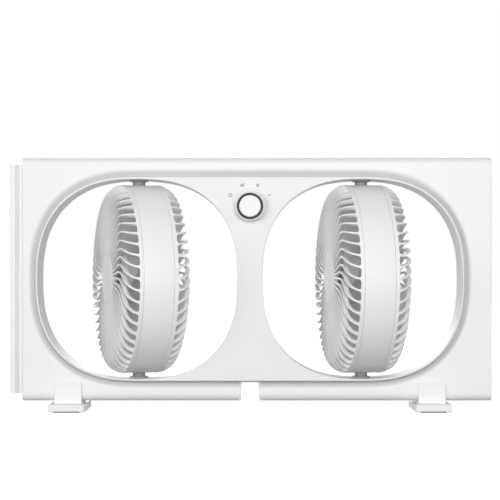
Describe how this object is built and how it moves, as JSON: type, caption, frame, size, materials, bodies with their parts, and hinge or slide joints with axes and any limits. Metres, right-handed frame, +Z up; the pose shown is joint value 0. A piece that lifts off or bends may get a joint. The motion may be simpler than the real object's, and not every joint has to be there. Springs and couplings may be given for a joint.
{
  "type": "window fan",
  "caption": "Twin window fan: flat frame on clip-on feet, round fan heads turning on vertical pivots in two soft-square openings, rotary speed knob, side slide.",
  "frame": {"origin": "on the surface that the feet stand on, under the middle of the fan's box", "axes": "+X along the width, to the right as seen from the front; +Y to the rear; +Z up; the knob faces -Y"},
  "size_m": [0.61, 0.243, 0.3205],
  "materials": {
    "frame_white": "satin moulded ABS",
    "fascia_white": "satin moulded ABS",
    "pod_white": "satin moulded ABS",
    "cap_grey": "fine matt moulded ABS",
    "blade_white": "glossy moulded polypropylene",
    "pivot_grey": "matt acetal",
    "ring_black": "glossy moulded",
    "switch_black": "matt phenolic",
    "rubber_black": "matt",
    "steel": "ground",
    "zinc_steel": "zinc plated",
    "winding": "varnished winding on laminations",
    "bronze": "sintered"
  },
  "bodies": {
    "frame": {"front_frame": "frame_white", "rear_frame": "frame_white", "front_fascia": "fascia_white", "rear_fascia": "fascia_white", "left_upper_bush": "pivot_grey", "left_lower_bush": "pivot_grey", "right_upper_bush": "pivot_grey", "right_lower_bush": "pivot_grey", "left_foot": "frame_white", "left_foot_front_pad": "rubber_black", "left_foot_rear_pad": "rubber_black", "right_foot": "frame_white", "right_foot_front_pad": "rubber_black", "right_foot_rear_pad": "rubber_black", "rotary_switch": "switch_black", "terminal_block": "cap_grey", "cord_gland": "pivot_grey", "housing_screw_left_lower": "zinc_steel", "housing_screw_left_upper": "zinc_steel", "housing_screw_right_lower": "zinc_steel", "housing_screw_right_upper": "zinc_steel"},
    "slide": {"side_slide": "frame_white"},
    "knob": {"knob_skirt": "frame_white", "knob_ring": "ring_black", "knob_cap": "frame_white", "knob_spindle": "steel"},
    "left_pod": {"left_barrel": "pod_white", "left_front_grille": "pod_white", "left_rear_grille": "pod_white", "left_front_hub_cap": "cap_grey", "left_rear_hub_cap": "cap_grey", "left_upper_pivot_pin": "pivot_grey", "left_lower_pivot_pin": "pivot_grey", "left_motor_mount": "zinc_steel", "left_motor_rear_shell": "zinc_steel", "left_motor_front_shell": "zinc_steel", "left_motor_stator": "winding", "left_motor_front_bush": "bronze", "left_motor_rear_bush": "bronze"},
    "left_impeller_body": {"left_impeller": "blade_white", "left_motor_shaft": "steel", "left_motor_rotor": "steel", "left_impeller_nut": "blade_white"},
    "right_pod": {"right_barrel": "pod_white", "right_front_grille": "pod_white", "right_rear_grille": "pod_white", "right_front_hub_cap": "cap_grey", "right_rear_hub_cap": "cap_grey", "right_upper_pivot_pin": "pivot_grey", "right_lower_pivot_pin": "pivot_grey", "right_motor_mount": "zinc_steel", "right_motor_rear_shell": "zinc_steel", "right_motor_front_shell": "zinc_steel", "right_motor_stator": "winding", "right_motor_front_bush": "bronze", "right_motor_rear_bush": "bronze"},
    "right_impeller_body": {"right_impeller": "blade_white", "right_motor_shaft": "steel", "right_motor_rotor": "steel", "right_impeller_nut": "blade_white"}
  },
  "joints": [
    {"name": "left_pod_turn", "type": "hinge", "parent": "frame", "child": "left_pod", "pos_m": [-0.1415, 0, 0.167], "axis": [0, 0, 1], "range_deg": [-105.9, 74.1]},
    {"name": "right_pod_turn", "type": "hinge", "parent": "frame", "child": "right_pod", "pos_m": [0.1415, 0, 0.167], "axis": [0, 0, 1], "range_deg": [-97.8, 82.2]},
    {"name": "left_fan_spin", "type": "hinge", "parent": "left_pod", "child": "left_impeller_body", "pos_m": [-0.1415, 0, 0.167], "axis": [-0.9617, -0.274, 0], "continuous": true},
    {"name": "right_fan_spin", "type": "hinge", "parent": "right_pod", "child": "right_impeller_body", "pos_m": [0.1415, 0, 0.167], "axis": [-0.9907, -0.1357, 0], "continuous": true},
    {"name": "knob_turn", "type": "hinge", "parent": "frame", "child": "knob", "pos_m": [0, -0.035, 0.2583], "axis": [0, 1, 0], "range_deg": [0, 120]},
    {"name": "side_slide_out", "type": "slide", "parent": "frame", "child": "slide", "axis": [-1, 0, 0], "range_m": [0, 0.012]}
  ]
}
